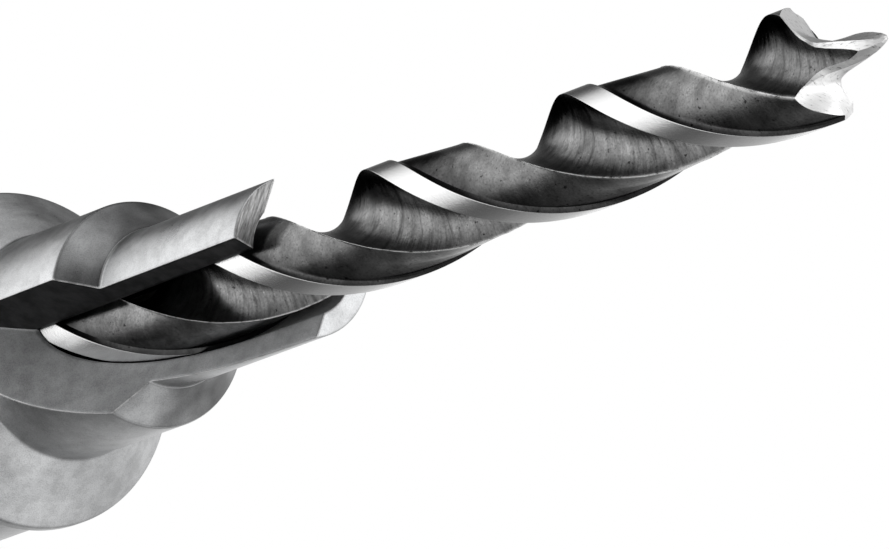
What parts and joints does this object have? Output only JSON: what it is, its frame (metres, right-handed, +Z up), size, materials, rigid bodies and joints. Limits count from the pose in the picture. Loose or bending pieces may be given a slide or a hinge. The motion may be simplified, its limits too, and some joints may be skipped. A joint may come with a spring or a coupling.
{
  "type": "confirmat drill bit",
  "caption": "Combined twist pilot, clearance and countersink bit for furniture connector screws, with a brad point, a stepped fluted holder and a hex shank.",
  "frame": {"origin": "middle of the hexagonal shank's rear end face, on the tool axis", "axes": "+X along the tool axis towards the cutting tip, +Z up with the tool lying on its collar and the set screw on top, +Y to the left of a reader who looks from the shank to the tip"},
  "size_m": [0.1049, 0.015, 0.015],
  "materials": {
    "ground_tool_steel": "bright ground, with fine grinding marks",
    "turned_steel": "satin, turned and milled",
    "blackened_steel": "black oxide"
  },
  "bodies": {
    "root": {"step_holder": "turned_steel", "pilot_drill": "ground_tool_steel", "set_screw": "blackened_steel"}
  },
  "joints": []
}
